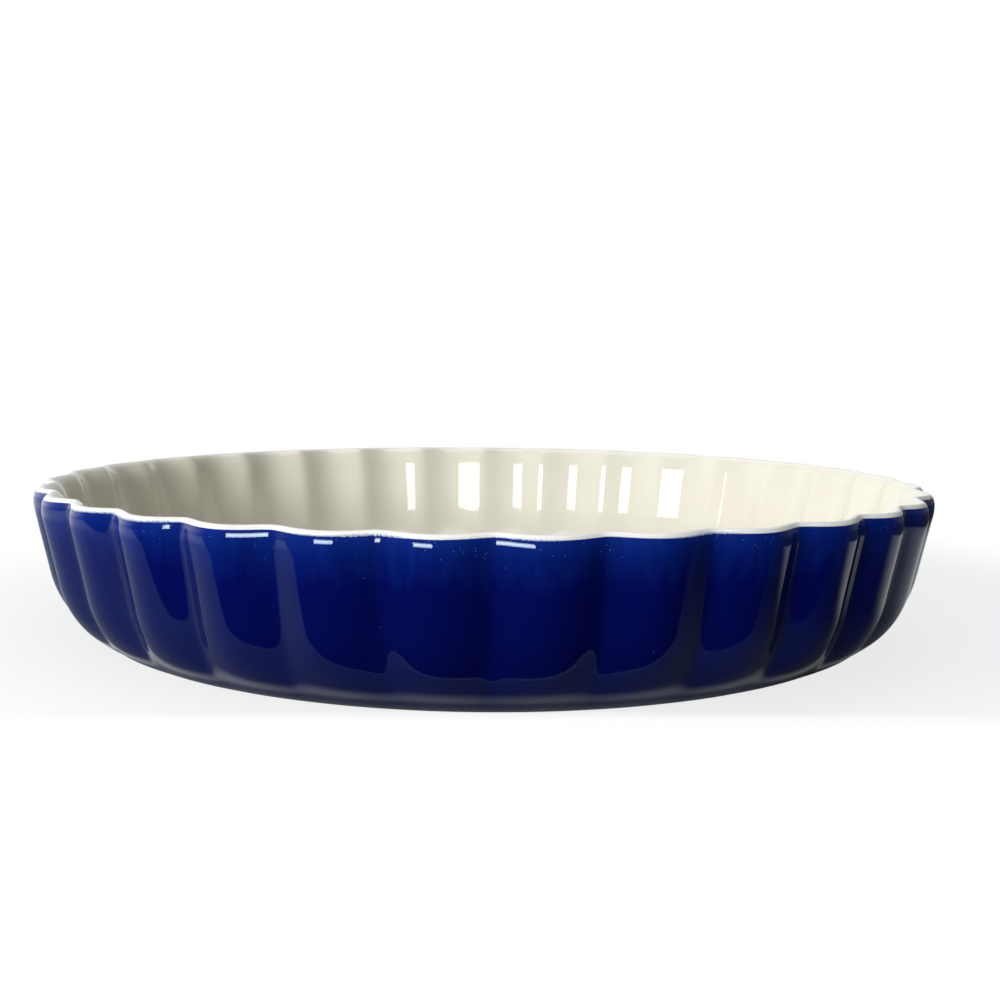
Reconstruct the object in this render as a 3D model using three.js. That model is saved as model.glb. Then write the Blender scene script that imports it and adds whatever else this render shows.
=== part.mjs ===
// Fluted stoneware pie dish: a clay body with an ivory coat inside and a cobalt blue coat outside.
// Millimetres, +Z up. The origin is the centre of the foot ring, on the surface that the dish stands on.

import * as THREE from 'three';
import { mergeVertices } from 'three/addons/utils/BufferGeometryUtils.js';

// Overall sizes
const RIM_DIAMETER = 278;
const HEIGHT = 48.2;
const FOOT_DIAMETER = 214;
const WALL_FLARE = THREE.MathUtils.degToRad(12);
const THICKNESS = 6.2;

// Flutes: convex lobes outside that meet in creases, shallower grooves inside with round ridges between
const FLUTE_COUNT = 32;
const FLUTE_DEPTH = 3.5;
const CREASE_ROUNDING = 0.22;
const FLUTE_FADE_HEIGHT = 18;
const GROOVE_DEPTH = 3;
const RIDGE_ROUNDING = 0.5;
const GROOVE_FADE_HEIGHT = 16;

// Lip: half an ellipse that dips a little on every lobe. The two coats meet on its outer side, at an angle
// that is measured from the outer shoulder.
const LIP_HEIGHT = 6.5;
const LIP_DIP = 0.3;
const COLOUR_LINE = THREE.MathUtils.degToRad(57);

// Foot ring and the shallow recess inside it
const FOOT_WIDTH = 4.5;
const FOOT_SLOPE = 0.9;
const BASE_RECESS = 1.2;

// Glaze coats, and the gap that keeps each coat clear of the clay and of the next coat
const GLAZE = 0.7;
const GAP = 0.2;
const BARE_FOOT_ANGLE = THREE.MathUtils.degToRad(8.5);

// Facets
const SEGMENTS_PER_FLUTE = 6;
const CORNER_SEGMENTS = 4;
const OUTER_LIP_SEGMENTS = 2;
const TOP_LIP_SEGMENTS = 2;
const INNER_LIP_SEGMENTS = 3;
const BASE_SEGMENTS = 64;

const SEGMENTS = FLUTE_COUNT * SEGMENTS_PER_FLUTE;
const RIM_RADIUS = RIM_DIAMETER / 2;
const FOOT_RADIUS = FOOT_DIAMETER / 2;
const SHOULDER = HEIGHT - LIP_HEIGHT;
const BODY_DEPTH = GLAZE + GAP;

// The corner between wall and base is an arc that ends flat on the table and runs straight into the wall.
const OVERHANG = RIM_RADIUS - FOOT_RADIUS;
const CORNER_RADIUS =
  (OVERHANG * Math.cos(WALL_FLARE) - SHOULDER * Math.sin(WALL_FLARE)) / (1 - Math.sin(WALL_FLARE));

/** Height of a lobe at an angle round the dish: 0 in a crease, 1 on a crest, with the cusp rounded off. */
function lobe(angle, rounding) {
  const wave = Math.hypot(Math.sin((FLUTE_COUNT * angle) / 2), rounding);
  return (wave - rounding) / (Math.hypot(1, rounding) - rounding);
}

/** Share of the full flute depth at a height above where the flutes die out. */
function fade(height, fadeHeight) {
  return THREE.MathUtils.smoothstep(height, 0, fadeHeight);
}

/** Crest radius of the wall, at a depth below the outer surface. */
function wallRadius(z, depth) {
  return RIM_RADIUS + (z - SHOULDER) * Math.tan(WALL_FLARE) - depth / Math.cos(WALL_FLARE);
}

/** A profile point, with the weights of the outer flutes, the inner grooves and the lip's dip on it. */
function point(r, z, outer = 0, inner = 0, lip = 0) {
  return { r, z, outer, inner, lip };
}

/** Points of the corner arc, from an angle up to the wall, at a depth below the outer surface. */
function corner(depth, startAngle, isInner) {
  const radius = CORNER_RADIUS - depth;
  const endAngle = Math.PI / 2 - WALL_FLARE;
  const points = [];
  for (let i = 0; i <= CORNER_SEGMENTS; i += 1) {
    const angle = THREE.MathUtils.lerp(startAngle, endAngle, i / CORNER_SEGMENTS);
    const r = FOOT_RADIUS + radius * Math.sin(angle);
    const z = CORNER_RADIUS - radius * Math.cos(angle);
    const outer = isInner ? 0 : fade(z, FLUTE_FADE_HEIGHT);
    const inner = isInner ? fade(z - THICKNESS, GROOVE_FADE_HEIGHT) : 0;
    points.push(point(r, z, outer, inner));
  }
  return points;
}

/** Points of the lip between two angles, from the outer shoulder (0) over the top to the inner shoulder. */
function lipArc(depth, startAngle, endAngle, segments) {
  const half = (THICKNESS / 2 - depth) / Math.cos(WALL_FLARE);
  const points = [];
  for (let i = 0; i <= segments; i += 1) {
    const angle = THREE.MathUtils.lerp(startAngle, endAngle, i / segments);
    const across = Math.cos(angle);
    const z = SHOULDER + (LIP_HEIGHT - depth) * Math.sin(angle);
    const outer = (1 + across) / 2;
    points.push(point(wallRadius(z, THICKNESS / 2) + half * across, z, outer, 1 - outer, 1));
  }
  return points;
}

/** Points of the ivory part of the lip, from the colour line over the top to the inner shoulder. */
function ivoryLip(depth) {
  const top = Math.PI / 2;
  return [
    ...lipArc(depth, COLOUR_LINE, top, TOP_LIP_SEGMENTS),
    ...lipArc(depth, top, Math.PI, INNER_LIP_SEGMENTS).slice(1),
  ];
}

/** A closed lathe of a profile whose points are pulled in by the flutes and grooves. */
function flutedLathe(profile) {
  const geometry = new THREE.LatheGeometry(profile.map(({ r, z }) => new THREE.Vector2(r, z)), SEGMENTS);
  const { position } = geometry.attributes;
  for (let column = 0; column <= SEGMENTS; column += 1) {
    const angle = (2 * Math.PI * (column % SEGMENTS)) / SEGMENTS;
    const outerLobe = lobe(angle, CREASE_ROUNDING);
    const innerLobe = lobe(angle, RIDGE_ROUNDING);
    profile.forEach(({ r, z, outer, inner, lip }, row) => {
      const radius = r - FLUTE_DEPTH * outer * (1 - outerLobe) - GROOVE_DEPTH * inner * (1 - innerLobe);
      position.setXYZ(
        column * profile.length + row,
        radius * Math.sin(angle),
        -radius * Math.cos(angle),
        z - LIP_DIP * lip * outerLobe,
      );
    });
  }
  geometry.setIndex(flutedFaces(profile));
  return closed(geometry);
}

/** Triangles of a fluted lathe. Each quad is split from its low crease side to its high crest side. */
function flutedFaces(profile) {
  const faces = [];
  for (let column = 0; column < SEGMENTS; column += 1) {
    const nearsCrest = column % SEGMENTS_PER_FLUTE < SEGMENTS_PER_FLUTE / 2;
    for (let row = 0; row < profile.length - 1; row += 1) {
      const climbs = profile[row + 1].z > profile[row].z;
      const a = column * profile.length + row;
      const b = a + profile.length;
      if (nearsCrest === climbs) {
        faces.push(a, b, b + 1, b + 1, a + 1, a);
      } else {
        faces.push(a, b, a + 1, b + 1, a + 1, b);
      }
    }
  }
  return faces;
}

/** Leaves only positions on a lathe and welds its seam and poles. */
function closed(geometry) {
  geometry.deleteAttribute('normal');
  geometry.deleteAttribute('uv');
  return mergeVertices(geometry);
}

/** The clay body: floor, fluted wall and lip, set back by the coats, and a bare foot ring below them. */
function stonewareBody() {
  const recess = BASE_RECESS + BODY_DEPTH;
  const footInner = FOOT_RADIUS - FOOT_WIDTH;
  const insideDepth = THICKNESS - BODY_DEPTH;
  const profile = [
    point(0, recess),
    point(footInner - FOOT_SLOPE, recess),
    point(footInner, 0),
    point(FOOT_RADIUS, 0),
    point(FOOT_RADIUS + FOOT_SLOPE, BODY_DEPTH),
    ...corner(BODY_DEPTH, BARE_FOOT_ANGLE, false),
    ...lipArc(BODY_DEPTH, 0, COLOUR_LINE, OUTER_LIP_SEGMENTS),
    ...ivoryLip(BODY_DEPTH).slice(1),
    ...corner(insideDepth, 0, true).reverse(),
    point(0, insideDepth),
  ];
  return flutedLathe(profile);
}

/** The ivory coat: floor, inside of the wall and lip, down to the colour line on the lip's outer side. */
function innerGlaze() {
  const backDepth = THICKNESS - GLAZE;
  const profile = [
    point(0, backDepth),
    ...corner(backDepth, 0, true),
    ...ivoryLip(GLAZE).reverse(),
    ...ivoryLip(0),
    ...corner(THICKNESS, 0, true).reverse(),
    point(0, THICKNESS),
  ];
  return flutedLathe(profile);
}

/** The cobalt blue coat: outside of the wall, from the colour line down to just above the foot ring. */
function outerGlaze() {
  const top = COLOUR_LINE - GAP / (THICKNESS / 2);
  const profile = [
    ...corner(0, BARE_FOOT_ANGLE, false),
    ...lipArc(0, 0, top, OUTER_LIP_SEGMENTS),
    ...lipArc(GLAZE, top, 0, OUTER_LIP_SEGMENTS),
    ...corner(GLAZE, BARE_FOOT_ANGLE, false).reverse(),
  ];
  return flutedLathe([...profile, profile[0]]);
}

/** The cobalt blue coat on the underside: a thin disc in the recess of the foot ring. */
function baseGlaze() {
  const edge = FOOT_RADIUS - FOOT_WIDTH - FOOT_SLOPE - GAP;
  const outline = [
    new THREE.Vector2(0, BASE_RECESS),
    new THREE.Vector2(edge, BASE_RECESS),
    new THREE.Vector2(edge, BASE_RECESS + GLAZE),
    new THREE.Vector2(0, BASE_RECESS + GLAZE),
  ];
  const geometry = new THREE.LatheGeometry(outline, BASE_SEGMENTS);
  geometry.rotateX(Math.PI / 2);
  return closed(geometry);
}

/** A named mesh with a finish of its own. */
function part(name, geometry, color, roughness) {
  const mesh = new THREE.Mesh(geometry, new THREE.MeshStandardMaterial({ color, roughness, metalness: 0 }));
  mesh.name = name;
  return mesh;
}

const dish = new THREE.Group();
dish.name = 'pie_dish';
dish.add(
  part('stoneware_body', stonewareBody(), '#cbb594', 0.9),
  part('inner_glaze', innerGlaze(), '#ece7d8', 0.12),
  part('outer_glaze', outerGlaze(), '#06156b', 0.1),
  part('base_glaze', baseGlaze(), '#06156b', 0.15),
);

export default dish;
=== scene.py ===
"""Fluted stoneware pie dish, ivory inside and cobalt blue outside, on a pale table in soft window light."""

from __future__ import annotations

import logging
import math
from dataclasses import dataclass, fields
from enum import Enum, IntEnum

import bpy
import numpy as np
from mathutils import Matrix, Vector


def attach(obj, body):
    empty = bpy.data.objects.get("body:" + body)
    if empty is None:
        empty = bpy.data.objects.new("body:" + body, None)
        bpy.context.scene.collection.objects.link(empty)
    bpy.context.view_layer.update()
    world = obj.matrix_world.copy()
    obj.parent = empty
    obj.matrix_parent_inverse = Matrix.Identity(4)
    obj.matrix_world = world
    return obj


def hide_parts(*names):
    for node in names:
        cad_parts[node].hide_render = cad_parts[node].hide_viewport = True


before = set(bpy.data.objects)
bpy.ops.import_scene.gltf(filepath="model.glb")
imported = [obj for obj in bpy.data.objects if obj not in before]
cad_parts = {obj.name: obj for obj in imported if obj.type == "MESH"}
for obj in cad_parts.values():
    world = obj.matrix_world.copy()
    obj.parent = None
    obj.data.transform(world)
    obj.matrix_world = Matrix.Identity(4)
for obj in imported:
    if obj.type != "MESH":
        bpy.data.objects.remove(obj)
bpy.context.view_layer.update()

LOG = logging.getLogger("pie_dish")
MM = 0.001
IMAGE_SIDE = 1000
SENSOR = 36.0
SHARP_EDGE = math.radians(40)
FAR_FROM_LINE = 1000.0
SMOOTH = {"interpolation_type": "SMOOTHSTEP"}
WHITE = (1.0, 1.0, 1.0, 1.0)

Tree = bpy.types.NodeTree
Socket = bpy.types.NodeSocket
Pair = tuple[float, float]
Rows = tuple[int, int]


class Node(Enum):
    """CAD nodes that the visual pieces stand for."""

    BODY = "stoneware_body"
    INNER = "inner_glaze"
    OUTER = "outer_glaze"
    BASE = "base_glaze"


class Slot(Enum):
    """Material slots of the record."""

    STONEWARE = "stoneware"
    IVORY = "ivory_glaze"
    COBALT = "cobalt_glaze"


class Trait(Enum):
    """Vertex attributes that the finishes read."""

    CREASE = "crease"
    LINE = "line_distance"


class Tint(IntEnum):
    """Sockets of a Mix node for colours: the second colour's share, both colours, and the result."""

    SHARE = 0
    FIRST = 6
    SECOND = 7
    RESULT = 2


@dataclass(frozen=True)
class Ramp:
    """A change from one level to another, as a Map Range node makes it.

    Attributes:
        start: Value at which the change begins.
        stop: Value at which it ends, which may lie below the start.
        low: Level at the start.
        high: Level at the stop.
    """

    start: float
    stop: float
    low: float = 0.0
    high: float = 1.0

    @property
    def inputs(self) -> dict[int | str, object]:
        """Constants of the node by input name."""
        return {"From Min": self.start, "From Max": self.stop, "To Min": self.low, "To Max": self.high}


def linear(colour: str) -> tuple[float, float, float, float]:
    """Turns an sRGB colour into the linear one that shaders take.

    Args:
        colour: Six hex digits after a hash sign.

    Returns:
        Linear red, green, blue and an alpha of 1.
    """
    srgb = np.array([int(colour[i:i + 2], 16) / 255 for i in (1, 3, 5)])
    rgb = np.where(srgb <= 0.04045, srgb / 12.92, ((srgb + 0.055) / 1.055) ** 2.4)
    return (*rgb.tolist(), 1.0)


def add_node(
    tree: Tree,
    kind: str,
    values: dict[int | str, object] | None = None,
    links: dict[int | str, Socket] | None = None,
    **settings: object,
) -> bpy.types.Node:
    """Adds a shader node, sets its properties and sockets, and links its inputs.

    Args:
        tree: Node tree that takes the node.
        kind: Type of the node, without Blender's prefix.
        values: Constants by input name or index.
        links: Output sockets by the input that they feed.
        **settings: Properties of the node itself.

    Returns:
        The new node.
    """
    node = tree.nodes.new("ShaderNode" + kind)
    for name, value in settings.items():
        setattr(node, name, value)
    for socket, value in (values or {}).items():
        node.inputs[socket].default_value = value
    for socket, source in (links or {}).items():
        tree.links.new(source, node.inputs[socket])
    return node


def new_material(name: str) -> tuple[bpy.types.Material, Tree]:
    """Makes a material with an empty node tree.

    Args:
        name: Name of the material.

    Returns:
        The material and its tree.
    """
    material = bpy.data.materials.new(name)
    material.use_nodes = True
    material.node_tree.nodes.clear()
    return material, material.node_tree


@dataclass(frozen=True)
class RaggedEdge:
    """The edge of one glaze against the other, broken by grains of the other one.

    Attributes:
        reach: How far the grains come in where the edge is most ragged, in millimetres.
        calm: Share of that reach where the edge is least ragged.
        grain: Width of a grain, in millimetres.
        stretch: Length over which the edge turns more or less ragged, in millimetres.
        ragged: Noise at which a stretch is least and most ragged.
        spread: Share of the reach that a grain takes, by its noise.
        blur: Width over which a grain melts into the glaze, in millimetres.
    """

    reach: float
    calm: float = 0.25
    grain: float = 0.3
    stretch: float = 30.0
    ragged: Pair = (0.45, 0.62)
    spread: Ramp = Ramp(0.35, 0.7, 0.1)
    blur: float = 0.08

    def share(self, tree: Tree, place: Socket) -> Socket:
        """Adds the share of the other glaze, whose grains reach in by their noise times the stretch's.

        Args:
            tree: Node tree of the material.
            place: Object coordinates.

        Returns:
            The share.
        """
        line = add_node(tree, "Attribute", attribute_name=Trait.LINE.value).outputs["Fac"]
        noises = [
            add_node(tree, "TexNoise", {"Scale": 1 / (size * MM), "Detail": 1.0}, {"Vector": place})
            for size in (self.grain, self.stretch)
        ]
        ramps = (self.spread, Ramp(*self.ragged, self.reach * self.calm, self.reach))
        spread, width = (
            add_node(tree, "MapRange", ramp.inputs, {"Value": noise.outputs["Fac"]}).outputs[0]
            for ramp, noise in zip(ramps, noises)
        )
        edge = add_node(tree, "Math", links={0: spread, 1: width}, operation="MULTIPLY").outputs[0]
        inside = add_node(tree, "Math", links={0: edge, 1: line}, operation="SUBTRACT").outputs[0]
        return add_node(tree, "MapRange", Ramp(0.0, self.blur).inputs, {"Value": inside}).outputs[0]


@dataclass(frozen=True)
class GlossWave:
    """The slight waves in the surface of a glaze that has flowed in the kiln.

    Attributes:
        strength: Strength of the bump.
        depth: Depth of the waves, in millimetres.
        length: Length of a wave, in millimetres.
    """

    strength: float
    depth: float
    length: float = 14.0

    def normal(self, tree: Tree, place: Socket) -> Socket:
        """Adds the normal of the wavy surface.

        Args:
            tree: Node tree of the material.
            place: Object coordinates.

        Returns:
            The normal.
        """
        noise = {"Scale": 1 / (self.length * MM), "Detail": 1.0}
        wave = add_node(tree, "TexNoise", noise, {"Vector": place}).outputs["Fac"]
        bump = {"Strength": self.strength, "Distance": self.depth * MM}
        return add_node(tree, "Bump", bump, {"Height": wave}).outputs[0]


@dataclass(frozen=True)
class CobaltGlaze:
    """Cobalt blue gloss glaze, a stained glass melted on to the clay.

    It is deep and even where it lies thick, and clearer, greener and streaked where it has run thin under
    the lip. Burst bubbles leave pale specks there, and the edge against the ivory is finely broken.

    Attributes:
        deep: Colour where it lies thickest, by the foot and in the creases.
        cobalt: Colour on the wall.
        thin: Colour under the lip.
        pale: Colour of the ivory grains in its edge.
        speck: Colour of a burst bubble.
        shine: Tint of its gloss.
        roughness: Roughness of the fired surface.
        ior: Refractive index, matched to the strength of its gloss.
        rise: Way from deep to thin, by height in metres.
        cobalt_share: Share of that way at which the colour is cobalt.
        pooling: Share of the deep colour, by the depth in a crease.
        streak: Width of a streak that runs down the wall, in millimetres.
        streak_draw: Width of a streak over its length.
        streak_lift: Metres by which a streak moves the colours up or down, by its noise.
        bubble: Distance between bubbles, in millimetres.
        bubble_dot: Strength of a speck, by the distance from its middle over that between bubbles.
        bubble_zone: Share of bubbles, by height in metres.
        cloud: Size of a cloud of bubbles, in millimetres.
        cloud_crowd: Share of bubbles, by the cloud's noise.
        lap: Weight of the ivory's clear glass on it, by the distance from the line in millimetres.
        edge: Its edge against the ivory.
        wave: Waves of its surface.
    """

    deep: str = "#060b46"
    cobalt: str = "#050e5e"
    thin: str = "#0a2a86"
    pale: str = "#c9d3dc"
    speck: str = "#5f79bd"
    shine: str = "#dcfaff"
    roughness: float = 0.03
    ior: float = 1.38
    rise: Ramp = Ramp(4 * MM, 48 * MM)
    cobalt_share: float = 0.7
    pooling: Ramp = Ramp(0.35, 1.0, high=0.2)
    streak: float = 3.0
    streak_draw: float = 0.15
    streak_lift: Ramp = Ramp(0.3, 0.7, -2.5 * MM, 2.5 * MM)
    bubble: float = 0.7
    bubble_dot: Ramp = Ramp(0.22, 0.1)
    bubble_zone: Ramp = Ramp(40 * MM, 45 * MM, 0.008)
    cloud: float = 9.0
    cloud_crowd: Ramp = Ramp(0.5, 0.7, 0.03, 0.8)
    lap: Ramp = Ramp(1.8, 1.2, high=0.6)
    edge: RaggedEdge = RaggedEdge(reach=0.4)
    wave: GlossWave = GlossWave(strength=0.3, depth=0.2)

    def build(self) -> bpy.types.Material:
        """Makes the material.

        Returns:
            The material.
        """
        material, tree = new_material("cobalt_glaze")
        place = add_node(tree, "TexCoord").outputs["Object"]
        height = add_node(tree, "SeparateXYZ", links={"Vector": place}).outputs["Z"]
        colour = self.body(tree, place, height)
        specks = self.bubbles(tree, place, height)
        for tint, share in ((self.speck, specks), (self.pale, self.edge.share(tree, place))):
            layer = {Tint.SHARE: share, Tint.FIRST: colour}
            mix = add_node(tree, "Mix", {Tint.SECOND: linear(tint)}, layer, data_type="RGBA")
            colour = mix.outputs[Tint.RESULT]
        flow = self.wave.normal(tree, place)
        shader = add_node(
            tree,
            "BsdfPrincipled",
            {
                "Roughness": self.roughness,
                "IOR": self.ior,
                "Specular Tint": linear(self.shine),
                "Coat Roughness": self.roughness,
            },
            {"Base Color": colour, "Normal": flow, "Coat Weight": self.overlap(tree), "Coat Normal": flow},
        )
        add_node(tree, "OutputMaterial", links={"Surface": shader.outputs[0]})
        return material

    def overlap(self, tree: Tree) -> Socket:
        """Adds the weight of the ivory's clear glass, which laps over the blue and adds to its gloss."""
        line = add_node(tree, "Attribute", attribute_name=Trait.LINE.value).outputs["Fac"]
        return add_node(tree, "MapRange", self.lap.inputs, {"Value": line}).outputs[0]

    def body(self, tree: Tree, place: Socket, height: Socket) -> Socket:
        """Adds the blue itself, deep below and thin above, in streaks that run down the wall.

        Args:
            tree: Node tree of the material.
            place: Object coordinates.
            height: Their height.

        Returns:
            The colour.
        """
        crease = add_node(tree, "Attribute", attribute_name=Trait.CREASE.value).outputs["Fac"]
        draw = {1: (1, 1, self.streak_draw)}
        drawn = add_node(tree, "VectorMath", draw, {0: place}, operation="MULTIPLY").outputs[0]
        noise = {"Scale": 1 / (self.streak * MM), "Detail": 3.0}
        streak = add_node(tree, "TexNoise", noise, {"Vector": drawn}).outputs["Fac"]
        lift = add_node(tree, "MapRange", self.streak_lift.inputs, {"Value": streak}).outputs[0]
        level = add_node(tree, "Math", links={0: height, 1: lift}, operation="ADD").outputs[0]
        rise = add_node(tree, "MapRange", self.rise.inputs, {"Value": level}).outputs[0]
        ramp = add_node(tree, "ValToRGB", links={"Fac": rise})
        ramp.color_ramp.elements[0].color = linear(self.deep)
        ramp.color_ramp.elements[1].color = linear(self.thin)
        ramp.color_ramp.elements.new(self.cobalt_share).color = linear(self.cobalt)
        pooled = add_node(tree, "MapRange", self.pooling.inputs, {"Value": crease}).outputs[0]
        layer = {Tint.SHARE: pooled, Tint.FIRST: ramp.outputs[0]}
        mix = add_node(tree, "Mix", {Tint.SECOND: linear(self.deep)}, layer, data_type="RGBA")
        return mix.outputs[Tint.RESULT]

    def bubbles(self, tree: Tree, place: Socket, height: Socket) -> Socket:
        """Adds specks about 0.2 mm wide, in clouds under the lip and few elsewhere.

        Args:
            tree: Node tree of the material.
            place: Object coordinates.
            height: Their height.

        Returns:
            The share of speck.
        """
        cells = add_node(tree, "TexVoronoi", {"Scale": 1 / (self.bubble * MM)}, {"Vector": place}).outputs
        dot = add_node(tree, "MapRange", self.bubble_dot.inputs, {"Value": cells["Distance"]}).outputs[0]
        noise = {"Scale": 1 / (self.cloud * MM), "Detail": 2.0}
        cloud = add_node(tree, "TexNoise", noise, {"Vector": place}).outputs["Fac"]
        crowd = add_node(tree, "MapRange", self.cloud_crowd.inputs, {"Value": cloud}).outputs[0]
        zone = add_node(tree, "MapRange", self.bubble_zone.inputs, {"Value": height}).outputs[0]
        share = add_node(tree, "Math", links={0: crowd, 1: zone}, operation="MULTIPLY").outputs[0]
        chance = add_node(tree, "SeparateColor", links={"Color": cells["Color"]}).outputs[0]
        taken = add_node(tree, "Math", links={0: chance, 1: share}, operation="LESS_THAN").outputs[0]
        return add_node(tree, "Math", links={0: dot, 1: taken}, operation="MULTIPLY").outputs[0]


@dataclass(frozen=True)
class IvoryGlaze:
    """Opaque ivory gloss glaze: white zircon in a clear glass, warmed by the clay below.

    It clouds softly from ivory to a warmer cream and takes a little blue stain where it meets the cobalt.
    The lip has painted light: it is painted paler and cooler there, as if lit from above.

    Attributes:
        ivory: Colour of most of it.
        warm: Colour of the clouds in it.
        clean: Paler, cooler colour on the lip, painted light from above.
        stain: Colour of the grains in its edge.
        roughness: Roughness of the fired surface.
        ior: Refractive index.
        cloud: Size of a cloud, in millimetres.
        warming: Share of the warm colour, by the cloud's noise.
        lip: Share of the painted light on the lip, by the distance from the line in millimetres.
        edge: Its edge against the cobalt.
        wave: Waves of its surface.
    """

    ivory: str = "#e9e6d8"
    warm: str = "#e2dccb"
    clean: str = "#fafbf8"
    stain: str = "#a9b9e0"
    roughness: float = 0.05
    ior: float = 1.5
    cloud: float = 22.0
    warming: Ramp = Ramp(0.4, 0.9, high=0.5)
    lip: Ramp = Ramp(4.5, 1.5)
    edge: RaggedEdge = RaggedEdge(reach=0.5)
    wave: GlossWave = GlossWave(strength=0.25, depth=0.25)

    def build(self) -> bpy.types.Material:
        """Makes the material.

        Returns:
            The material.
        """
        material, tree = new_material("ivory_glaze")
        place = add_node(tree, "TexCoord").outputs["Object"]
        line = add_node(tree, "Attribute", attribute_name=Trait.LINE.value).outputs["Fac"]
        noise = {"Scale": 1 / (self.cloud * MM), "Detail": 3.0}
        cloud = add_node(tree, "TexNoise", noise, {"Vector": place}).outputs["Fac"]
        warm = add_node(tree, "MapRange", self.warming.inputs, {"Value": cloud}).outputs[0]
        lip = add_node(tree, "MapRange", self.lip.inputs, {"Value": line}).outputs[0]
        tints = {Tint.FIRST: linear(self.ivory), Tint.SECOND: linear(self.warm)}
        colour = add_node(tree, "Mix", tints, {Tint.SHARE: warm}, data_type="RGBA").outputs[Tint.RESULT]
        # The first layer is painted light on the lip, paler and cooler as if lit from above; the second is
        # the blue stain.
        for tint, share in ((self.clean, lip), (self.stain, self.edge.share(tree, place))):
            layer = {Tint.SHARE: share, Tint.FIRST: colour}
            mix = add_node(tree, "Mix", {Tint.SECOND: linear(tint)}, layer, data_type="RGBA")
            colour = mix.outputs[Tint.RESULT]
        shader = add_node(
            tree,
            "BsdfPrincipled",
            {"Roughness": self.roughness, "IOR": self.ior},
            {"Base Color": colour, "Normal": self.wave.normal(tree, place)},
        )
        add_node(tree, "OutputMaterial", links={"Surface": shader.outputs[0]})
        return material


@dataclass(frozen=True)
class BareStoneware:
    """Unglazed stoneware: buff clay fired hard, matt and finely grained, with iron specks burnt through it.

    Attributes:
        buff: Colour of the clay.
        grog: Colour of the coarser grains.
        iron: Colour of the iron specks.
        roughness: Roughness of the fired clay.
        grain: Size of a grain, in millimetres.
        grog_share: Share of the coarser grains' colour, by the grain's noise.
        bump: Strength of the grain's bump, and its depth in millimetres.
        fleck: Distance between iron specks, in millimetres.
        fleck_dot: Strength of a speck, by the distance from its middle over that between specks.
    """

    buff: str = "#c9b391"
    grog: str = "#a58c68"
    iron: str = "#5b4230"
    roughness: float = 0.85
    grain: float = 0.9
    grog_share: Ramp = Ramp(0.45, 0.75)
    bump: Pair = (0.4, 0.1)
    fleck: float = 2.5
    fleck_dot: Ramp = Ramp(0.16, 0.1, high=0.7)

    def build(self) -> bpy.types.Material:
        """Makes the material.

        Returns:
            The material.
        """
        material, tree = new_material("bare_stoneware")
        place = add_node(tree, "TexCoord").outputs["Object"]
        noise = {"Scale": 1 / (self.grain * MM), "Detail": 4.0}
        grain = add_node(tree, "TexNoise", noise, {"Vector": place}).outputs["Fac"]
        share = add_node(tree, "MapRange", self.grog_share.inputs, {"Value": grain}).outputs[0]
        tints = {Tint.FIRST: linear(self.buff), Tint.SECOND: linear(self.grog)}
        clay = add_node(tree, "Mix", tints, {Tint.SHARE: share}, data_type="RGBA").outputs[Tint.RESULT]
        cells = add_node(tree, "TexVoronoi", {"Scale": 1 / (self.fleck * MM)}, {"Vector": place}).outputs
        fleck = add_node(tree, "MapRange", self.fleck_dot.inputs, {"Value": cells["Distance"]}).outputs[0]
        layer = {Tint.SHARE: fleck, Tint.FIRST: clay}
        mix = add_node(tree, "Mix", {Tint.SECOND: linear(self.iron)}, layer, data_type="RGBA")
        strength, depth = self.bump
        relief = {"Strength": strength, "Distance": depth * MM}
        rough = add_node(tree, "Bump", relief, {"Height": grain}).outputs[0]
        looks = {"Base Color": mix.outputs[Tint.RESULT], "Normal": rough}
        shader = add_node(tree, "BsdfPrincipled", {"Roughness": self.roughness}, looks)
        add_node(tree, "OutputMaterial", links={"Surface": shader.outputs[0]})
        return material


@dataclass(frozen=True)
class Profile:
    """A line of points from which a round piece is swept.

    Attributes:
        r: Radius of each point on a crest, in millimetres.
        z: Height of each point, in millimetres.
        outer: Share of the outer flutes' depth at each point.
        inner: Share of the inner grooves' depth at each point.
        lip: Share of the lip's dip at each point.
    """

    r: np.ndarray
    z: np.ndarray
    outer: np.ndarray
    inner: np.ndarray
    lip: np.ndarray

    @classmethod
    def plain(cls, points: list[Pair]) -> Profile:
        """Makes an unfluted profile of a few (radius, height) points."""
        r, z = np.array(points, float).T
        return cls(r, z, np.zeros_like(r), np.zeros_like(r), np.zeros_like(r))

    @classmethod
    def join(cls, *parts: Profile) -> Profile:
        """Puts profiles one after another."""
        return cls(*(np.concatenate([getattr(part, f.name) for part in parts]) for f in fields(cls)))

    def back(self) -> Profile:
        """Gives the same points in the opposite order."""
        return Profile(*(getattr(self, f.name)[::-1] for f in fields(self)))

    def run(self) -> np.ndarray:
        """Gives the length along the profile up to each point, in millimetres."""
        return np.concatenate([[0.0], np.cumsum(np.hypot(np.diff(self.r), np.diff(self.z)))])


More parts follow.
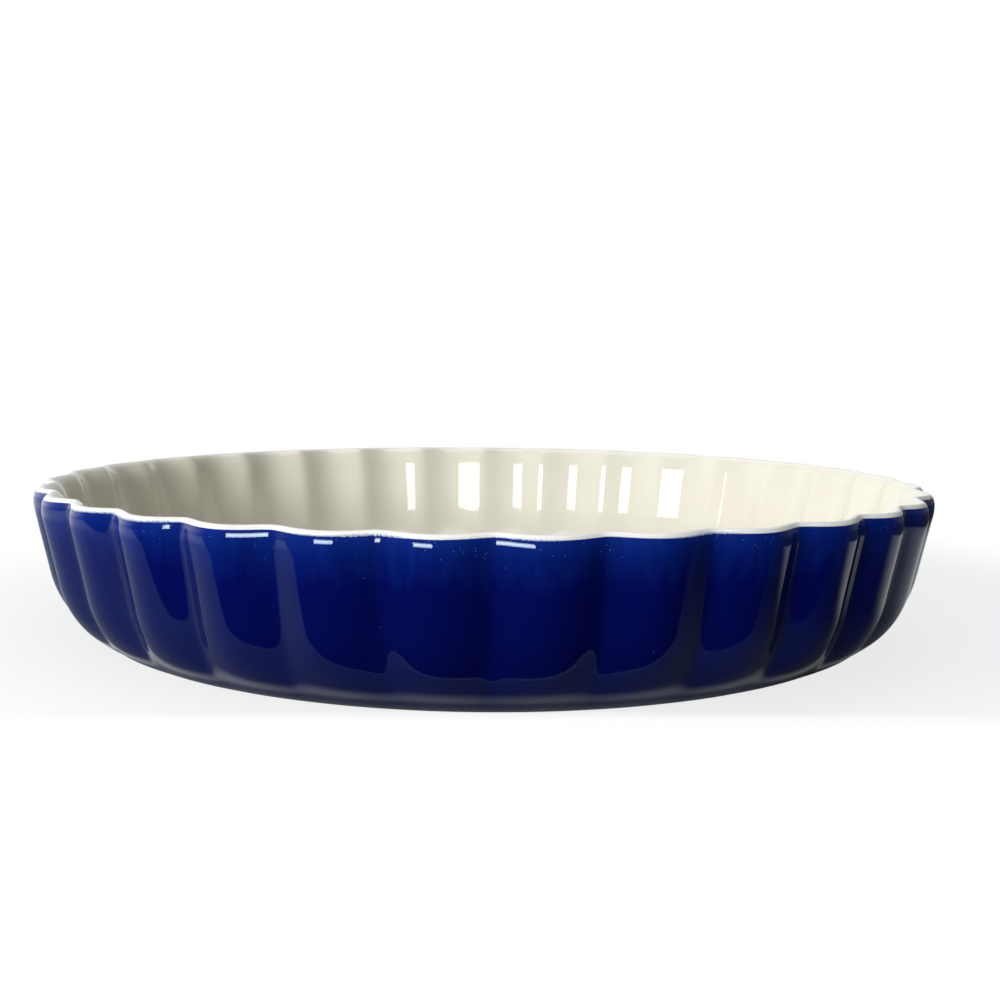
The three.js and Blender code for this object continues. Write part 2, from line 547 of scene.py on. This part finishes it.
@dataclass(frozen=True)
class DishForm:
    """The dish's driving sizes, in millimetres and degrees, and the curves that follow from them.

    The rim is 0.16 mm under the solid's, because finer columns reach further out than its facets do.

    Attributes:
        rim_diameter: Diameter of the wall's crests at the shoulder.
        height: Height of the lip between two lobes.
        foot_diameter: Outer diameter of the foot ring.
        flare: Lean of the wall.
        thickness: Thickness of wall and floor with their coats.
        flutes: Number of lobes.
        flute_depth: Depth of a crease between two lobes.
        crease_rounding: Roundness of a crease, 0 for a sharp one.
        flute_fade: Height over which the lobes grow from the foot.
        groove_depth: Depth of the grooves inside.
        ridge_rounding: Roundness of the ridges between the grooves.
        groove_fade: Height over which the grooves grow from the floor.
        lip_height: Height of the lip's round edge.
        lip_dip: How much the lip dips on a lobe.
        lip_line: Angle on the lip at which the two glazes meet, from the outer shoulder.
        foot_width: Width of the foot ring.
        foot_slope: Width of its sloping sides.
        base_recess: Depth of the recess inside it.
        glaze: Thickness of a coat.
        gap: Gap between a coat and the clay.
        bare_foot: Angle up the corner at which the outer coat ends.
        columns_per_flute: Columns of the mesh on a lobe.
        crease_crowding: How much closer the columns stand in a crease.
    """

    rim_diameter: float = 277.84
    height: float = 48.2
    foot_diameter: float = 214.0
    flare: float = 12.0
    thickness: float = 6.2
    flutes: int = 32
    flute_depth: float = 3.5
    crease_rounding: float = 0.22
    flute_fade: float = 18.0
    groove_depth: float = 3.0
    ridge_rounding: float = 0.5
    groove_fade: float = 16.0
    lip_height: float = 6.5
    lip_dip: float = 0.3
    lip_line: float = 57.0
    foot_width: float = 4.5
    foot_slope: float = 0.9
    base_recess: float = 1.2
    glaze: float = 0.7
    gap: float = 0.2
    bare_foot: float = 8.5
    columns_per_flute: int = 20
    crease_crowding: float = 0.55

    @property
    def slope(self) -> float:
        """Flare of the wall in radians."""
        return math.radians(self.flare)

    @property
    def shoulder(self) -> float:
        """Height at which the wall ends and the lip begins."""
        return self.height - self.lip_height

    @property
    def foot_radius(self) -> float:
        """Outer radius of the foot ring."""
        return self.foot_diameter / 2

    @property
    def corner_radius(self) -> float:
        """Radius of the arc that lies flat on the table and runs straight into the wall."""
        overhang, sine = self.rim_diameter / 2 - self.foot_radius, math.sin(self.slope)
        return (overhang * math.cos(self.slope) - self.shoulder * sine) / (1 - sine)

    def lobe(self, angle: np.ndarray, rounding: float) -> np.ndarray:
        """Gives the height of a lobe: the sine's size with its cusp rounded, from 0 in a crease to 1."""
        wave = np.hypot(np.sin(self.flutes * angle / 2), rounding)
        return (wave - rounding) / (math.hypot(1, rounding) - rounding)

    def fade(self, height: np.ndarray, reach: float) -> np.ndarray:
        """Gives the share of the flutes' full depth at a height above where they die out."""
        t = np.clip(height / reach, 0, 1)
        return t * t * (3 - 2 * t)

    def wall_radius(self, z: np.ndarray, depth: float) -> np.ndarray:
        """Gives the crest radius of the straight wall, at a depth below the outer surface."""
        crest = self.rim_diameter / 2 + (z - self.shoulder) * math.tan(self.slope)
        return crest - depth / math.cos(self.slope)

    def angles(self) -> np.ndarray:
        """Gives the columns' angles round the dish: even steps less a sine, which crowds the creases."""
        t = np.arange(self.flutes * self.columns_per_flute) / self.columns_per_flute
        return 2 * np.pi / self.flutes * (t - self.crease_crowding / (2 * np.pi) * np.sin(2 * np.pi * t))

    def shell(self, depth: float, start: float, rows: Rows, inner: bool) -> Profile:
        """Gives the corner, an arc about a point above the foot, and the straight wall to the shoulder.

        Args:
            depth: Depth below the outer surface.
            start: Angle up the arc at which the profile begins, in degrees.
            rows: Numbers of points on the arc and on the wall.
            inner: Whether the grooves shape it rather than the outer flutes.

        Returns:
            The profile from the bottom to the shoulder.
        """
        radius = self.corner_radius - depth
        turn = np.linspace(math.radians(start), np.pi / 2 - self.slope, rows[0])
        arc_r = self.foot_radius + radius * np.sin(turn)
        arc_z = self.corner_radius - radius * np.cos(turn)
        wall_z = np.linspace(arc_z[-1], self.shoulder, rows[1] + 1)[1:]
        r = np.concatenate([arc_r, self.wall_radius(wall_z, depth)])
        z = np.concatenate([arc_z, wall_z])
        lip = np.clip((z - arc_z[-1]) / (self.shoulder - arc_z[-1]), 0, 1)
        none = np.zeros_like(z)
        if inner:
            return Profile(r, z, none, self.fade(z - self.thickness, self.groove_fade), lip)
        return Profile(r, z, self.fade(z, self.flute_fade), none, lip)

    def lip_cap(self, depth: float, start: float, stop: float, rows: int) -> Profile:
        """Gives part of the lip: half an ellipse, from the outer shoulder (0) over the top to 180 degrees.

        Args:
            depth: Depth below the surface.
            start: Angle at which the part begins, in degrees.
            stop: Angle at which it ends, in degrees.
            rows: Number of points.

        Returns:
            The profile from start to stop.
        """
        turn = np.radians(np.linspace(start, stop, rows))
        across = np.cos(turn)
        z = self.shoulder + (self.lip_height - depth) * np.sin(turn)
        half = (self.thickness / 2 - depth) / math.cos(self.slope)
        r = self.wall_radius(z, self.thickness / 2) + half * across
        return Profile(r, z, (1 + across) / 2, (1 - across) / 2, np.ones_like(z))

    def sweep(self, profile: Profile) -> np.ndarray:
        """Sweeps a profile round the dish, pulled in by the flutes and grooves.

        A column's radius is the profile's, less the flutes' depth times (1 - lobe) outside and the grooves'
        depth times (1 - lobe) inside. The lip dips on every lobe.

        Args:
            profile: Points to sweep.

        Returns:
            Positions in metres, rows by columns by 3.
        """
        angle = self.angles()
        outer = self.lobe(angle, self.crease_rounding)
        inner = self.lobe(angle, self.ridge_rounding)
        radius = (
            profile.r[:, None]
            - self.flute_depth * profile.outer[:, None] * (1 - outer)
            - self.groove_depth * profile.inner[:, None] * (1 - inner)
        )
        height = profile.z[:, None] - self.lip_dip * profile.lip[:, None] * outer
        return np.stack([radius * np.sin(angle), -radius * np.cos(angle), height], axis=-1) * MM


@dataclass
class RoundPiece:
    """A piece of the dish that is swept from a closed profile.

    Attributes:
        form: The dish's sizes.
        finish: Material that covers it.
        node: CAD node that it stands for.
        slot: Material slot that it stands for; it is not used.
    """

    form: DishForm
    finish: bpy.types.Material
    node: Node
    slot: Slot

    def profile(self) -> Profile:
        """Gives the closed profile, with the solid on its left."""
        raise NotImplementedError

    def has_poles(self) -> bool:
        """Tells whether the profile begins and ends on the axis instead of closing on itself."""
        return True

    def line_row(self) -> int | None:
        """Gives the profile's point on the line where the two glazes meet, if it has one."""
        return None

    def faces(self, rows: int, columns: int) -> list[list[int]]:
        """Lists the faces of a swept grid, wrapped round the axis.

        Args:
            rows: Number of rings.
            columns: Points on each ring.

        Returns:
            Quads between the rings, then the triangles at the poles or the quads that close the profile.
        """
        ring = np.arange(columns)
        following = np.roll(ring, -1)
        low = np.arange(rows - 1 if self.has_poles() else rows)[:, None] * columns
        high = (low + columns) % (rows * columns)
        corners = [low + ring, low + following, high + following, high + ring]
        quads = np.stack(corners, axis=-1).reshape(-1, 4).tolist()
        if not self.has_poles():
            return quads
        first, last = np.full(columns, rows * columns), np.full(columns, rows * columns + 1)
        top = (rows - 1) * columns
        bottom_fan = np.stack([first, following, ring], axis=-1)
        top_fan = np.stack([last, top + ring, top + following], axis=-1)
        return quads + bottom_fan.tolist() + top_fan.tolist()

    def build(self) -> bpy.types.Object:
        """Builds, dresses and registers the piece.

        Returns:
            The finished object.
        """
        profile = self.profile()
        poles, swept = np.zeros((0, 3)), slice(None)
        if self.has_poles():
            poles = np.array([[0, 0, profile.z[0]], [0, 0, profile.z[-1]]]) * MM
            swept = slice(1, -1)
        grid = self.form.sweep(profile)[swept]
        vertices = np.concatenate([grid.reshape(-1, 3), poles])
        mesh = bpy.data.meshes.new(self.node.value + "_visual")
        mesh.from_pydata(vertices.tolist(), [], self.faces(*grid.shape[:2]))
        self.mark(mesh, profile, swept, len(poles))
        mesh.shade_smooth()
        mesh.set_sharp_from_angle(angle=SHARP_EDGE)
        mesh.materials.append(self.finish)
        piece = bpy.data.objects.new(self.node.value + "_visual", mesh)
        bpy.context.scene.collection.objects.link(piece)
        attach(piece, "root")
        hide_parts(self.node.value)
        return piece

    def mark(self, mesh: bpy.types.Mesh, profile: Profile, swept: slice, poles: int) -> None:
        """Writes the vertex attributes that the finishes read.

        Args:
            mesh: Mesh that takes them.
            profile: The whole profile.
            swept: Points of the profile that were swept into rings.
            poles: Number of pole vertices after the grid.
        """
        lobe = self.form.lobe(self.form.angles(), self.form.crease_rounding)
        crease = profile.outer[:, None] * (1 - lobe)
        run, row = profile.run(), self.line_row()
        line = np.full_like(run, FAR_FROM_LINE) if row is None else np.abs(run - run[row])
        marks = {Trait.CREASE: crease, Trait.LINE: np.broadcast_to(line[:, None], crease.shape)}
        for trait, values in marks.items():
            flat = np.concatenate([values[swept].ravel(), values[[0, -1], 0][:poles]])
            attribute = mesh.attributes.new(trait.value, "FLOAT", "POINT")
            attribute.data.foreach_set("value", flat.astype(np.float32))


@dataclass
class StonewareBody(RoundPiece):
    """The clay body: floor, fluted wall and lip, set back under the coats, and the bare foot ring.

    Attributes:
        recess_margin: Width of the ring of faces inside the foot ring, in millimetres.
        inner_bevel: Width and height of the foot ring's inner edge, in millimetres.
        outer_bevel: Width and height of its outer edge, in millimetres.
        wall_rows: Numbers of points on the corner and on the wall.
        lip_ends: Angles between which the lip has points of its own, in degrees.
        lip_rows: Number of those points.
    """

    recess_margin: float = 4.0
    inner_bevel: Pair = (0.3, 0.35)
    outer_bevel: Pair = (0.35, 0.25)
    wall_rows: Rows = (10, 6)
    lip_ends: Pair = (20.0, 160.0)
    lip_rows: int = 8

    def profile(self) -> Profile:
        """Runs from the recess out over the foot ring, up the wall, over the lip and down to the floor.

        Returns:
            The closed profile.
        """
        f = self.form
        set_back = f.glaze + f.gap
        inside = f.thickness - set_back
        recess = f.base_recess + set_back
        foot_inner = f.foot_radius - f.foot_width
        foot = [
            (0, recess),
            (foot_inner - f.foot_slope - self.recess_margin, recess),
            (foot_inner - f.foot_slope, recess),
            (foot_inner - self.inner_bevel[0], self.inner_bevel[1]),
            (foot_inner + self.inner_bevel[0], 0),
            (f.foot_radius, 0),
            (f.foot_radius + self.outer_bevel[0], self.outer_bevel[1]),
            (f.foot_radius + f.foot_slope, set_back),
        ]
        return Profile.join(
            Profile.plain(foot),
            f.shell(set_back, f.bare_foot, self.wall_rows, False),
            f.lip_cap(set_back, *self.lip_ends, self.lip_rows),
            f.shell(inside, 0, self.wall_rows, True).back(),
            Profile.plain([(0, inside)]),
        )


@dataclass
class InnerGlaze(RoundPiece):
    """The ivory coat: floor, inside of the wall and the lip, down to the line on the lip's outer edge.

    Attributes:
        back_rows: Numbers of points on the back of the corner and of the wall.
        lip_back_start: Angle on the lip at which its back begins, in degrees.
        lip_back_rows: Number of points on the back of the lip.
        lip_stop: Angle on the lip at which its face ends, in degrees.
        lip_rows: Number of points on the face of the lip.
        wall_rows: Numbers of points on the face of the corner and of the wall.
        floor_ring: Radius of a ring of points on the floor, in millimetres.
    """

    back_rows: Rows = (8, 4)
    lip_back_start: float = 170.0
    lip_back_rows: int = 8
    lip_stop: float = 176.0
    lip_rows: int = 28
    wall_rows: Rows = (24, 26)
    floor_ring: float = 60.0

    def profile(self) -> Profile:
        """Runs along the back of the coat from the axis, round its outer edge and back along its face.

        Returns:
            The closed profile.
        """
        f = self.form
        back = f.thickness - f.glaze
        return Profile.join(
            Profile.plain([(0, back)]),
            f.shell(back, 0, self.back_rows, True),
            f.lip_cap(f.glaze, self.lip_back_start, f.lip_line, self.lip_back_rows),
            f.lip_cap(0, f.lip_line, self.lip_stop, self.lip_rows),
            f.shell(f.thickness, 0, self.wall_rows, True).back(),
            Profile.plain([(self.floor_ring, f.thickness), (0, f.thickness)]),
        )

    def line_row(self) -> int:
        """Gives the first point of the face, after the point on the axis and the whole back."""
        return 1 + sum(self.back_rows) + self.lip_back_rows


@dataclass
class OuterGlaze(RoundPiece):
    """The cobalt coat: outside of the wall, from the line on the lip to the glaze line above the foot ring.

    Attributes:
        wall_rows: Numbers of points on the face of the corner and of the wall.
        lip_start: Angle on the lip at which its face begins, in degrees.
        lip_rows: Number of points on the face of the lip.
        lip_back_stop: Angle on the lip at which its back ends, in degrees.
        lip_back_rows: Number of points on the back of the lip.
        back_rows: Numbers of points on the back of the corner and of the wall.
    """

    wall_rows: Rows = (30, 26)
    lip_start: float = 4.0
    lip_rows: int = 8
    lip_back_stop: float = 10.0
    lip_back_rows: int = 3
    back_rows: Rows = (10, 6)

    def profile(self) -> Profile:
        """Runs up the face of the coat, over its top edge, down its back and round its lower edge.

        Returns:
            The closed profile.
        """
        f = self.form
        return Profile.join(
            f.shell(0, f.bare_foot, self.wall_rows, False),
            f.lip_cap(0, self.lip_start, f.lip_line, self.lip_rows),
            f.lip_cap(f.glaze, f.lip_line, self.lip_back_stop, self.lip_back_rows),
            f.shell(f.glaze, f.bare_foot, self.back_rows, False).back(),
        )

    def has_poles(self) -> bool:
        """Tells that the profile closes on itself."""
        return False

    def line_row(self) -> int:
        """Gives the last point of the face, on the lip's outer edge."""
        return sum(self.wall_rows) + self.lip_rows - 1


@dataclass
class BaseGlaze(RoundPiece):
    """The cobalt coat on the underside: a thin disc in the recess of the foot ring.

    Attributes:
        bevel: Width and height of its lower edge, in millimetres.
    """

    bevel: Pair = (0.3, 0.2)

    def profile(self) -> Profile:
        """Runs out along the lower face, up the edge and back along the upper face.

        Returns:
            The closed profile.
        """
        f = self.form
        edge = f.foot_radius - f.foot_width - f.foot_slope - f.gap
        low, high = f.base_recess, f.base_recess + f.glaze
        width, rise = self.bevel
        return Profile.plain([(0, low), (edge - width, low), (edge, low + rise), (edge, high), (0, high)])


@dataclass(frozen=True)
class Window:
    """A soft rectangle of light that faces the dish.

    Attributes:
        name: Name of the light.
        azimuth: Direction in plan, in degrees to the right of the camera's side.
        elevation: Direction above the table, in degrees.
        distance: Distance from the dish, in metres.
        size: Width and height, in metres.
        power: Power in watts.
        mirrored: Whether the glaze shows it, as it shows bare panes, or not, as behind a diffuser.
    """

    name: str
    azimuth: float
    elevation: float
    distance: float
    size: Pair
    power: float
    mirrored: bool = True

    def hang(self) -> None:
        """Adds the light to the scene."""
        a, e = math.radians(self.azimuth), math.radians(self.elevation)
        way = Vector((math.sin(a) * math.cos(e), -math.cos(a) * math.cos(e), math.sin(e)))
        light = bpy.data.lights.new(self.name, "AREA")
        light.shape = "RECTANGLE"
        light.size, light.size_y = self.size
        light.energy = self.power
        lamp = bpy.data.objects.new(self.name, light)
        lamp.location = way * self.distance
        lamp.rotation_euler = (-way).to_track_quat("-Z", "Y").to_euler()
        lamp.visible_glossy = self.mirrored
        bpy.context.scene.collection.objects.link(lamp)


WINDOWS = (
    Window("low_window", -27.5, 11.0, 2.5, (1.25, 0.46), 32.0),
    Window("low_light", -48.0, 12.0, 2.5, (1.6, 0.52), 11.5, mirrored=False),
    Window("side_light", -124.0, 17.0, 2.4, (2.8, 1.2), 30.0, mirrored=False),
    Window("high_window", -23.5, 19.0, 2.6, (0.76, 0.27), 5.8),
    Window("high_side_window", -38.0, 18.8, 2.5, (0.46, 0.34), 3.6),
    Window("ceiling_light", 0.0, 90.0, 2.0, (1.5, 1.5), 16.0),
)


def ray_tests(tree: Tree) -> tuple[Socket, Socket]:
    """Adds the tests for rays that show the background: the camera's, and those of gloss and clear glass.

    Args:
        tree: Node tree that takes them.

    Returns:
        The test for camera rays and the test for mirrored rays.
    """
    path = add_node(tree, "LightPath").outputs
    both = {0: path["Is Glossy Ray"], 1: path["Is Transmission Ray"]}
    return path["Is Camera Ray"], add_node(tree, "Math", links=both, operation="MAXIMUM").outputs[0]


@dataclass(frozen=True)
class TablePaint:
    """Matt pale paint, which keeps the shadow by the dish and goes over to plain white further off.

    The camera sees it go white sooner than the glaze does. In the glaze it is pale by the dish.
    To all rays but the camera's it has painted shade at the right, which stands in for a dark room.
    The glaze also shows two painted reflections that glow though no lamp lights them: a narrow pale
    ring close to the foot and a pale patch at the right.
    Each ramp gives a share by a place on the table, in metres.

    Attributes:
        paint: Colour of the paint.
        shade: Colour of the painted shade at the right, which stands in for a dark room.
        roughness: Roughness of the paint.
        centre: Point on the table about which it goes white, in metres.
        around: White that the camera sees, by the distance from the centre.
        front: White that the camera sees towards the front, along Y.
        far: White that the glaze shows, by the distance from the centre.
        left: Share of that white towards the left, along X.
        ring_inside: Inner side of the painted pale ring, by the distance from the dish's axis.
        ring_outside: Outer side of the ring, by the same distance.
        ring_level: Strength of the ring, along X.
        painted_patch_left: Left side of the painted pale patch, along X.
        painted_patch_right: Right side of the patch, along X.
        painted_patch_front: Front of the patch and its strength, along Y.
        shade_left: Left side of the painted shade, along X.
        shade_front: Painted shade in front of the patch, along Y.
        shade_right: Painted shade beyond the patch, along X.
    """

    paint: str = "#b3bdc1"
    shade: str = "#323538"
    roughness: float = 0.8
    centre: tuple[float, float, float] = (0.03, 0.06, 0.0)
    around: Ramp = Ramp(0.15, 0.26, 0.8)
    front: Ramp = Ramp(-0.075, -0.122)
    far: Ramp = Ramp(0.26, 0.36)
    left: Ramp = Ramp(0.15, 0.02)
    ring_inside: Ramp = Ramp(0.119, 0.1228)
    ring_outside: Ramp = Ramp(0.1266, 0.1228)
    ring_level: Ramp = Ramp(-0.02, 0.12, 0.6, 0.1)
    painted_patch_left: Ramp = Ramp(0.13, 0.17)
    painted_patch_right: Ramp = Ramp(0.27, 0.235)
    painted_patch_front: Ramp = Ramp(-0.09, -0.045, high=0.45)
    shade_left: Ramp = Ramp(0.02, 0.15)
    shade_front: Ramp = Ramp(-0.045, -0.09)
    shade_right: Ramp = Ramp(0.235, 0.27)

    def build(self) -> bpy.types.Material:
        """Makes the material.

        Returns:
            The material.
        """
        material, tree = new_material("table_paint")
        place = add_node(tree, "TexCoord").outputs["Object"]
        camera, mirrored = ray_tests(tree)
        fades = self.fades(tree, place)
        tone = self.tone(tree, fades, camera)
        paint = add_node(tree, "BsdfPrincipled", {"Roughness": self.roughness}, {"Base Color": tone})
        whites = {0: fades["around"], 1: fades["front"]}
        near = add_node(tree, "Math", links=whites, operation="MAXIMUM").outputs[0]
        seen = add_node(tree, "Math", links={0: near, 1: camera}, operation="MULTIPLY").outputs[0]
        shares = {0: self.glint(tree, fades), 1: mirrored, 2: seen}
        share = add_node(tree, "Math", links=shares, operation="MULTIPLY_ADD").outputs[0]
        white = add_node(tree, "Emission", {"Strength": 1.0})
        mixed = add_node(tree, "MixShader", links={0: share, 1: paint.outputs[0], 2: white.outputs[0]})
        add_node(tree, "OutputMaterial", links={"Surface": mixed.outputs[0]})
        return material

    def fades(self, tree: Tree, place: Socket) -> dict[str, Socket]:
        """Adds the fades across the table, all smooth but the ring's level, which is even.

        Args:
            tree: Node tree of the material.
            place: Object coordinates.

        Returns:
            The fades by the names of their ramps.
        """
        split = add_node(tree, "SeparateXYZ", links={"Vector": place}).outputs
        x, y = split["X"], split["Y"]
        centre = {1: self.centre}
        away = add_node(tree, "VectorMath", centre, {0: place}, operation="DISTANCE").outputs["Value"]
        out = add_node(tree, "VectorMath", links={0: place}, operation="LENGTH").outputs["Value"]
        plans = {
            "around": (self.around, away, SMOOTH),
            "front": (self.front, y, SMOOTH),
            "far": (self.far, away, SMOOTH),
            "left": (self.left, x, SMOOTH),
            "ring_inside": (self.ring_inside, out, SMOOTH),
            "ring_outside": (self.ring_outside, out, SMOOTH),
            "ring_level": (self.ring_level, x, {}),
            "painted_patch_left": (self.painted_patch_left, x, SMOOTH),
            "painted_patch_right": (self.painted_patch_right, x, SMOOTH),
            "painted_patch_front": (self.painted_patch_front, y, SMOOTH),
            "shade_left": (self.shade_left, x, SMOOTH),
            "shade_front": (self.shade_front, y, SMOOTH),
            "shade_right": (self.shade_right, x, SMOOTH),
        }
        return {
            name: add_node(tree, "MapRange", ramp.inputs, {"Value": source}, **curve).outputs[0]
            for name, (ramp, source, curve) in plans.items()
        }

    def glint(self, tree: Tree, fades: dict[str, Socket]) -> Socket:
        """Adds the white that only the glaze shows: far off at the left, and painted reflections in the
        ring and in the patch, which glow though no lamp lights them.

        Args:
            tree: Node tree of the material.
            fades: Fades across the table.

        Returns:
            The share of white.
        """
        # Painted reflections: the ring by the foot and the patch at the right glow white only in the glaze.
        sides = {0: fades["ring_inside"], 1: fades["ring_outside"]}
        ring = add_node(tree, "Math", links=sides, operation="MINIMUM").outputs[0]
        ends = {0: fades["painted_patch_left"], 1: fades["painted_patch_right"]}
        width = add_node(tree, "Math", links=ends, operation="MULTIPLY").outputs[0]
        pairs = (
            {0: ring, 1: fades["ring_level"]},
            {0: width, 1: fades["painted_patch_front"]},
            {0: fades["far"], 1: fades["left"]},
        )
        streak, patch, far = (
            add_node(tree, "Math", links=pair, operation="MULTIPLY").outputs[0] for pair in pairs
        )
        near = add_node(tree, "Math", links={0: streak, 1: patch}, operation="ADD").outputs[0]
        return add_node(tree, "Math", links={0: far, 1: near}, operation="MAXIMUM").outputs[0]

    def tone(self, tree: Tree, fades: dict[str, Socket], camera: Socket) -> Socket:
        """Adds the paint's colour: pale to the camera, with painted shade at the right for all other rays.

        Args:
            tree: Node tree of the material.
            fades: Fades across the table.
            camera: Test for camera rays.

        Returns:
            The colour.
        """
        # Painted shade: the paint is dark at the right for all rays but the camera's, standing in for a
        # dark room.
        sides = {0: fades["shade_front"], 1: fades["shade_right"]}
        either = add_node(tree, "Math", links=sides, operation="MAXIMUM").outputs[0]
        both = {0: fades["shade_left"], 1: either}
        dark = add_node(tree, "Math", links=both, operation="MULTIPLY").outputs[0]
        unseen = add_node(tree, "Math", {0: 1.0}, {1: camera}, operation="SUBTRACT").outputs[0]
        shade = add_node(tree, "Math", links={0: dark, 1: unseen}, operation="MULTIPLY").outputs[0]
        tones = {Tint.FIRST: linear(self.paint), Tint.SECOND: linear(self.shade)}
        return add_node(tree, "Mix", tones, {Tint.SHARE: shade}, data_type="RGBA").outputs[Tint.RESULT]


@dataclass(frozen=True)
class Table:
    """The pale table that the dish stands on, in metres.

    Attributes:
        front: Distance of its front edge from the dish's axis.
        width: Its width.
        depth: Its depth behind the dish's axis.
        height: Height of its front and back.
        edge: Radius of its rounded front edge.
        edge_rows: Number of points on that edge.
        finish: Its paint.
    """

    front: float = 0.1345
    width: float = 2.4
    depth: float = 1.4
    height: float = 0.4
    edge: float = 0.002
    edge_rows: int = 9
    finish: TablePaint = TablePaint()

    def build(self) -> None:
        """Adds the table: a profile of its back, top, rounded front edge and front, drawn out sideways."""
        turn = np.linspace(np.pi / 2, 0, self.edge_rows)
        edge_y = -self.front + self.edge * (1 - np.cos(turn))
        y = np.concatenate([[self.depth, self.depth], edge_y, [-self.front]])
        z = np.concatenate([[-self.height, 0], self.edge * (np.sin(turn) - 1), [-self.height]])
        x = np.array([[-self.width / 2], [self.width / 2]])
        grid = np.stack(np.broadcast_arrays(x, y, z), axis=-1)
        low = np.arange(len(y) - 1)
        quads = np.stack([low, low + 1, low + 1 + len(y), low + len(y)], axis=-1)
        mesh = bpy.data.meshes.new("table")
        mesh.from_pydata(grid.reshape(-1, 3).tolist(), [], quads.tolist())
        mesh.shade_smooth()
        mesh.set_sharp_from_angle(angle=SHARP_EDGE)
        mesh.materials.append(self.finish.build())
        table = bpy.data.objects.new("table", mesh)
        bpy.context.scene.collection.objects.link(table)


@dataclass(frozen=True)
class Room:
    """The room round the set: white to the camera, and in the gloss dim in front, below and at the right.

    Each ramp gives the level of the room by one part of a mirrored ray's direction.

    Attributes:
        fill: Strength of the room as fill light.
        floor: From the dim floor up to the walls, along Z.
        front: From the dim front to the backdrop, along Y.
        right: From the backdrop to the dim right, along X.
    """

    fill: float = 0.04
    floor: Ramp = Ramp(-0.4, -0.12, 0.02)
    front: Ramp = Ramp(-0.1, 0.5, 0.06)
    right: Ramp = Ramp(0.3, 0.6, 1.0, 0.12)

    def build(self) -> None:
        """Sets the world: plain white to the camera, the room to mirrored rays and fill light to others."""
        world = bpy.data.worlds.new("room")
        world.use_nodes = True
        tree = world.node_tree
        tree.nodes.clear()
        way = add_node(tree, "TexCoord").outputs["Generated"]
        split = add_node(tree, "SeparateXYZ", links={"Vector": way}).outputs
        plans = ((self.floor, split["Z"]), (self.front, split["Y"]), (self.right, split["X"]))
        rise, behind, aside = (
            add_node(tree, "MapRange", ramp.inputs, {"Value": source}).outputs[0] for ramp, source in plans
        )
        wall = add_node(tree, "Math", links={0: rise, 1: behind}, operation="MULTIPLY").outputs[0]
        level = add_node(tree, "Math", links={0: wall, 1: aside}, operation="MULTIPLY").outputs[0]
        backdrop = add_node(tree, "Background", {"Color": WHITE, "Strength": 1.0})
        room = add_node(tree, "Background", {"Color": WHITE}, {"Strength": level})
        fill = add_node(tree, "Background", {"Color": WHITE, "Strength": self.fill})
        camera, mirrored = ray_tests(tree)
        unseen = add_node(tree, "MixShader", links={0: mirrored, 1: fill.outputs[0], 2: room.outputs[0]})
        layers = {0: camera, 1: unseen.outputs[0], 2: backdrop.outputs[0]}
        mixed = add_node(tree, "MixShader", links=layers)
        add_node(tree, "OutputWorld", links={"Surface": mixed.outputs[0]})
        bpy.context.scene.world = world


@dataclass(frozen=True)
class PhotoCamera:
    """The camera at the photograph's viewing angle.

    Attributes:
        focal_pixels: Focal length in pixels of the picture.
        place: Where the camera stands, in metres.
        pan: Turn of the camera to the right, in degrees.
        tilt: Turn of the camera down, in degrees.
        roll: Turn of the camera about its own axis, in degrees.
        clip_start: Nearest distance that it sees, in metres.
    """

    focal_pixels: float = 1361.0
    place: tuple[float, float, float] = (-0.0061, -0.440, 0.0893)
    pan: float = 1.4
    tilt: float = 6.30
    roll: float = -0.6
    clip_start: float = 0.01

    def build(self) -> None:
        """Adds the camera, with axes from its pan and tilt that are then rolled about its line of sight."""
        pan, tilt, roll = (math.radians(a) for a in (self.pan, self.tilt, self.roll))
        forward = np.array(
            [math.sin(pan) * math.cos(tilt), math.cos(pan) * math.cos(tilt), -math.sin(tilt)]
        )
        right = np.array([math.cos(pan), -math.sin(pan), 0.0])
        down = np.cross(forward, right)
        turned_right = math.cos(roll) * right + math.sin(roll) * down
        turned_down = math.cos(roll) * down - math.sin(roll) * right
        turn = np.stack([turned_right, -turned_down, -forward], axis=1)
        data = bpy.data.cameras.new("camera")
        data.sensor_width = SENSOR
        data.lens = self.focal_pixels * SENSOR / IMAGE_SIDE
        data.clip_start = self.clip_start
        camera = bpy.data.objects.new("camera", data)
        camera.matrix_world = Matrix.Translation(self.place) @ Matrix(turn.tolist()).to_4x4()
        bpy.context.scene.collection.objects.link(camera)
        bpy.context.scene.camera = camera


def main() -> None:
    """Builds the dish piece by piece, then the table, the room, the lamps and the camera."""
    logging.basicConfig(level=logging.INFO, format="%(name)s: %(message)s")
    form = DishForm()
    cobalt = CobaltGlaze().build()
    ivory = IvoryGlaze().build()
    clay = BareStoneware().build()
    pieces = (
        StonewareBody(form, clay, Node.BODY, Slot.STONEWARE),
        InnerGlaze(form, ivory, Node.INNER, Slot.IVORY),
        OuterGlaze(form, cobalt, Node.OUTER, Slot.COBALT),
        BaseGlaze(form, cobalt, Node.BASE, Slot.COBALT),
    )
    for piece in pieces:
        built = piece.build()
        mesh = built.data
        LOG.info("%s: %d vertices, %d faces", built.name, len(mesh.vertices), len(mesh.polygons))
    Table().build()
    Room().build()
    for window in WINDOWS:
        window.hang()
    PhotoCamera().build()
    bpy.context.scene.view_settings.view_transform = "Standard"


if __name__ == "__main__":
    main()
